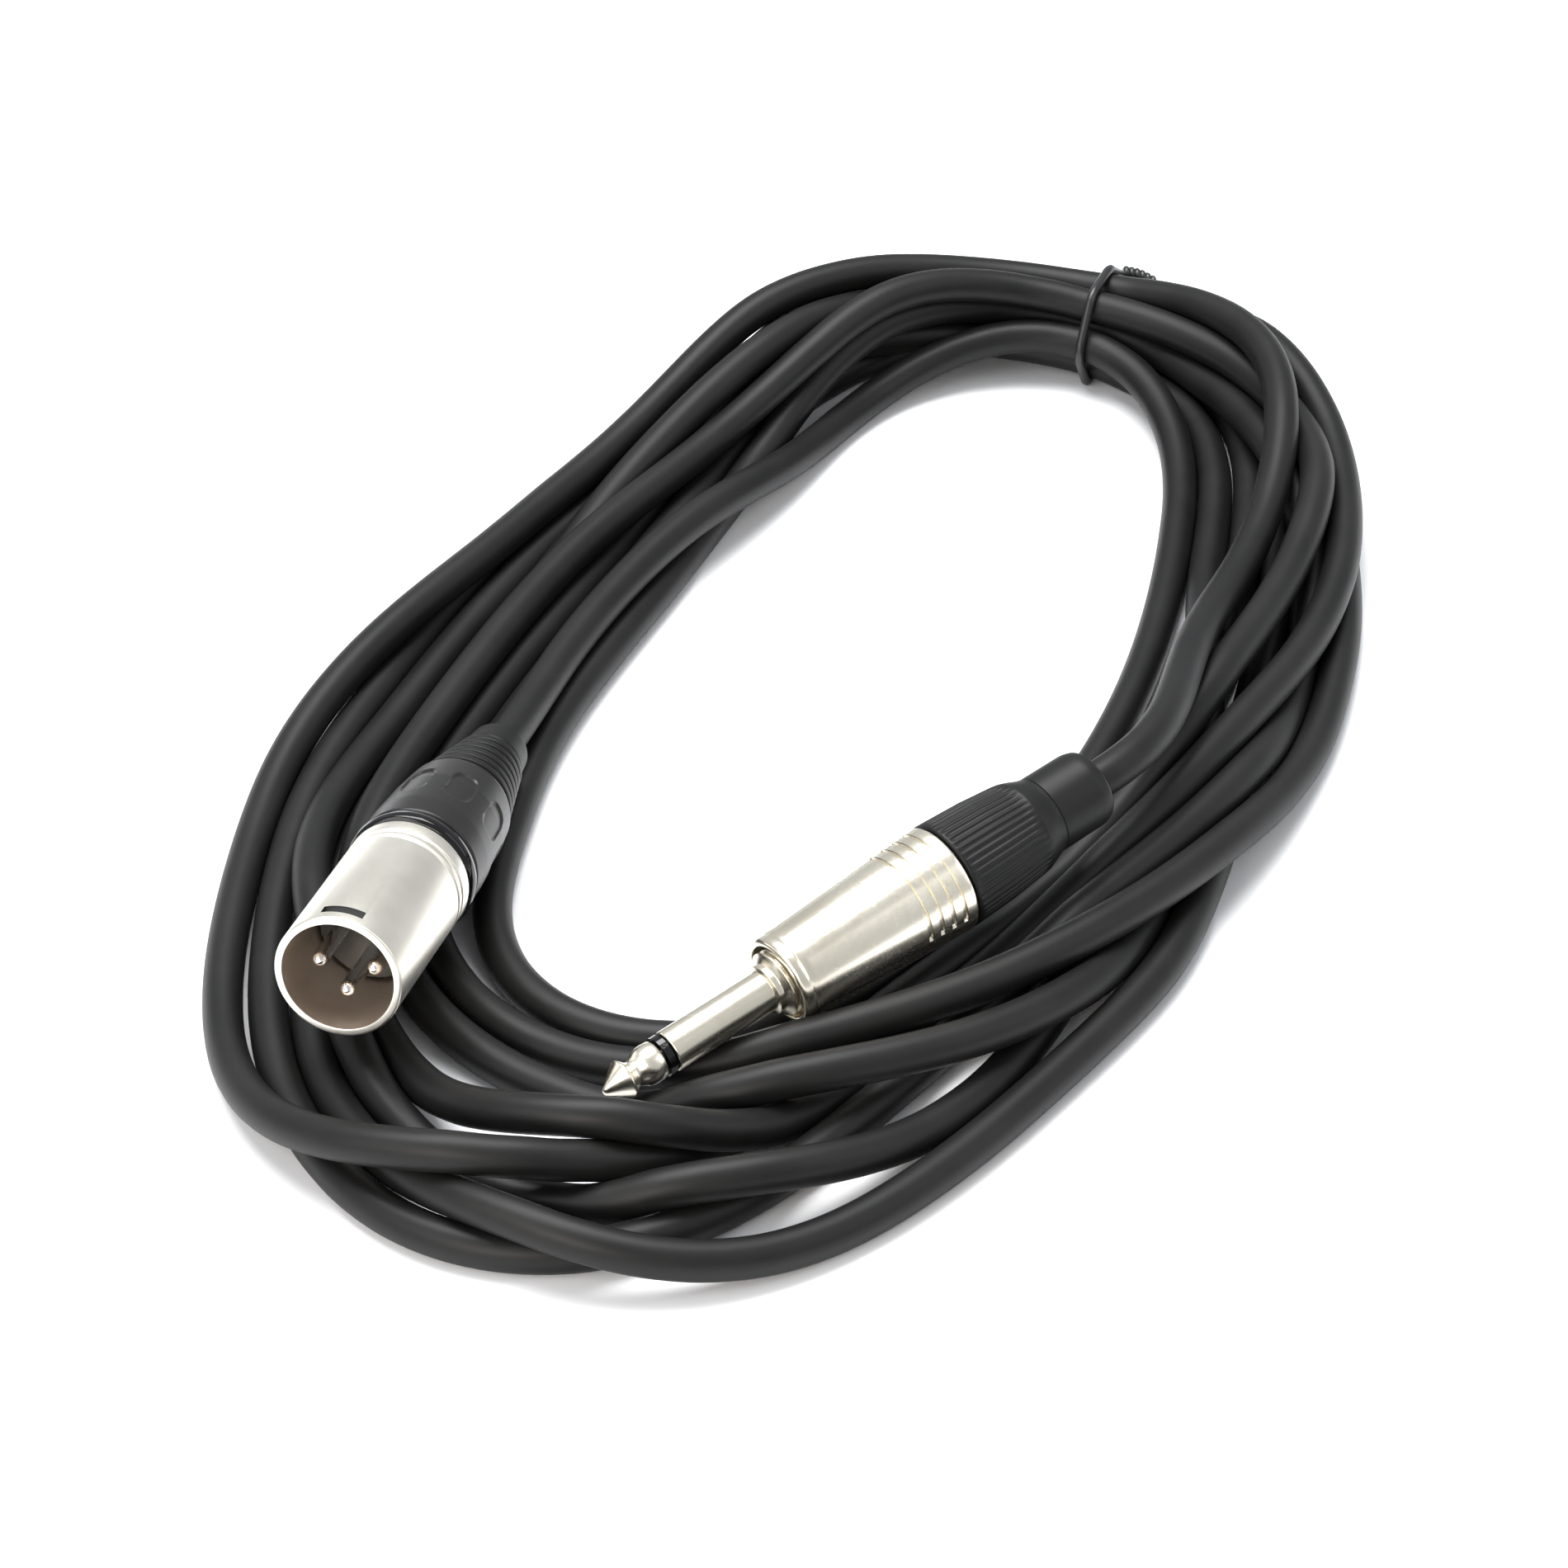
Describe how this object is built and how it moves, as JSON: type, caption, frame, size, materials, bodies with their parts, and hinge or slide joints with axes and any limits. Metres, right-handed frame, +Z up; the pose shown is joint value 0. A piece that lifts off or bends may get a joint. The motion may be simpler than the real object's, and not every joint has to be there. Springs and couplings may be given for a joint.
{
  "type": "xlr cable coil",
  "caption": "Microphone cable wound in a loose oval hank, with a male XLR plug on one end, a mono jack plug on the other and a wire tie.",
  "frame": {"origin": "middle of the hank's underside, on the surface that it lies on", "axes": "+Z up; +Y along the hank's long way, from the loose front end, where the XLR's mouth opens, to the tied back end; +X to the right seen from the front"},
  "size_m": [0.1784, 0.2735, 0.0314],
  "materials": {
    "satin_nickel": "satin nickel plating, fine grained",
    "bright_nickel": "bright warm nickel plating",
    "contact_metal": "bright plated pins",
    "brass": "plain stamped brass",
    "copper_braid": "twisted bare copper",
    "gloss_ring": "high gloss black",
    "black_plastic": "moulded black plastic, slightly satin",
    "nut_plastic": "smooth charcoal plastic, semi-gloss",
    "white_plastic": "natural nylon",
    "boot_rubber": "matte black rubber",
    "cable_jacket": "soft matte black PVC jacket",
    "red_wire": "red core insulation",
    "white_wire": "white core insulation",
    "tie_plastic": "black plastic coated wire"
  },
  "bodies": {
    "root": {"cord_coil": "cable_jacket", "cord_lead_xlr": "cable_jacket", "cord_lead_jack": "cable_jacket", "tie_loop": "tie_plastic", "tie_twist": "tie_plastic", "xlr_shell": "satin_nickel", "xlr_insert": "black_plastic", "xlr_pin_1": "contact_metal", "xlr_pin_2": "contact_metal", "xlr_pin_3": "contact_metal", "xlr_ground_tab": "brass", "xlr_coding_ring": "gloss_ring", "xlr_chuck": "white_plastic", "xlr_wire_hot": "red_wire", "xlr_wire_cold": "white_wire", "xlr_shield_tail": "copper_braid", "jack_tip": "bright_nickel", "jack_insulator": "gloss_ring", "jack_sleeve": "bright_nickel", "jack_rear_washer": "black_plastic", "jack_tip_lug": "brass", "jack_ground_lug": "brass", "jack_barrel": "bright_nickel", "jack_liner": "white_plastic", "jack_chuck": "white_plastic", "jack_wire_hot": "red_wire", "jack_shield_tail": "copper_braid"},
    "xlr_boot": {"xlr_boot": "boot_rubber"},
    "xlr_nut": {"xlr_nut": "nut_plastic"},
    "jack_boot": {"jack_boot": "boot_rubber"},
    "jack_nut": {"jack_nut": "black_plastic"}
  },
  "joints": [
    {"name": "xlr_gland_travel", "type": "slide", "parent": "root", "child": "xlr_boot", "axis": [0.2478, 0.958, -0.1444], "range_m": [0, 0.005]},
    {"name": "xlr_nut_turn", "type": "hinge", "parent": "xlr_boot", "child": "xlr_nut", "pos_m": [-0.05701, -0.04553, 0.01514], "axis": [0.2478, 0.958, -0.1444], "range_deg": [0, 1800]},
    {"name": "jack_gland_travel", "type": "slide", "parent": "root", "child": "jack_boot", "axis": [0.7802, 0.6052, 0.1582], "range_m": [0, 0.005]},
    {"name": "jack_nut_turn", "type": "hinge", "parent": "jack_boot", "child": "jack_nut", "pos_m": [0.0249, -0.05727, 0.02039], "axis": [0.7802, 0.6052, 0.1582], "range_deg": [0, 1800]}
  ],
  "couplings": [
    {"joint": "xlr_gland_travel", "follows": "xlr_nut_turn", "m_per_rad": 0.000159},
    {"joint": "jack_gland_travel", "follows": "jack_nut_turn", "m_per_rad": 0.000159}
  ]
}
